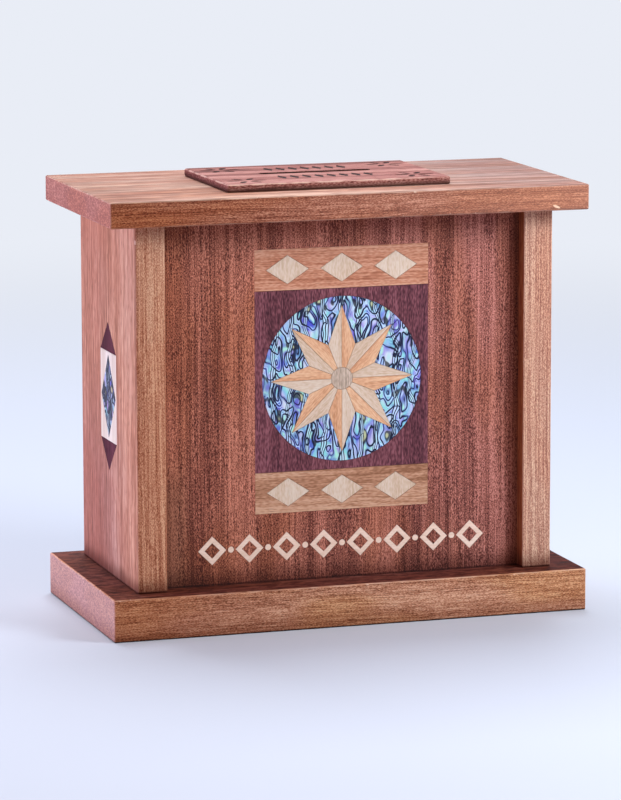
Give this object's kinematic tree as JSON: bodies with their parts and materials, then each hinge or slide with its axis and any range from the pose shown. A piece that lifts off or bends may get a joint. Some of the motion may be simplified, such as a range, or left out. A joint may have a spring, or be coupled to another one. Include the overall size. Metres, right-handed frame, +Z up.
{
  "type": "charity box",
  "caption": "Hardwood charity box on a plinth, with a set-back front panel of pieced wood and shell inlay and a lift-off lid with an eased coin-slot plaque.",
  "frame": {"origin": "centre of the underside of the plinth", "axes": "+Z up, +X along the width to the viewer's right, front face towards -Y"},
  "size_m": [0.203, 0.103, 0.1813],
  "materials": {
    "mahogany": "sanded hardwood with a thin satin oil finish",
    "sapele": "ribbon-striped hardwood with a thin satin oil finish",
    "plaque_wood": "carved hardwood with a thin satin oil finish",
    "purpleheart": "dark purple inlay wood, sanded flush and oiled",
    "maple": "pale inlay wood, sanded flush and oiled",
    "anigre": "warm pale inlay wood, sanded flush and oiled",
    "silver_wood": "greyed inlay wood, sanded flush and oiled",
    "cedar": "pinkish inlay wood, sanded flush and oiled",
    "pale_walnut": "brown inlay wood with a wavy grain, sanded flush and oiled",
    "pine": "plain sanded softwood",
    "shell": "polished blue and green abalone shell",
    "brass": "plain brass with a light patina"
  },
  "bodies": {
    "case": {"base_board": "mahogany", "left_side_board": "mahogany", "right_side_board": "mahogany", "front_panel": "sapele", "back_panel": "sapele", "base_screws": "brass", "picture_field": "purpleheart", "picture_roundel": "shell", "star_light_halves": "maple", "star_dark_halves": "anigre", "star_boss": "silver_wood", "picture_top_band": "cedar", "picture_bottom_band": "pale_walnut", "band_lozenges": "maple", "motif_rings": "maple", "motif_dots": "maple", "left_inlay_ground": "maple", "left_inlay_points": "purpleheart", "left_inlay_lozenge": "shell", "right_inlay_ground": "maple", "right_inlay_points": "purpleheart", "right_inlay_lozenge": "shell"},
    "lid": {"lid_board": "mahogany", "slot_plaque": "plaque_wood", "lid_cleat_front": "pine", "lid_cleat_back": "pine", "lid_cleat_left": "pine", "lid_cleat_right": "pine", "cleat_screws": "brass"}
  },
  "joints": [
    {"name": "lid_lift", "type": "slide", "parent": "case", "child": "lid", "axis": [0, 0, 1], "range_m": [0, 0.12]}
  ]
}
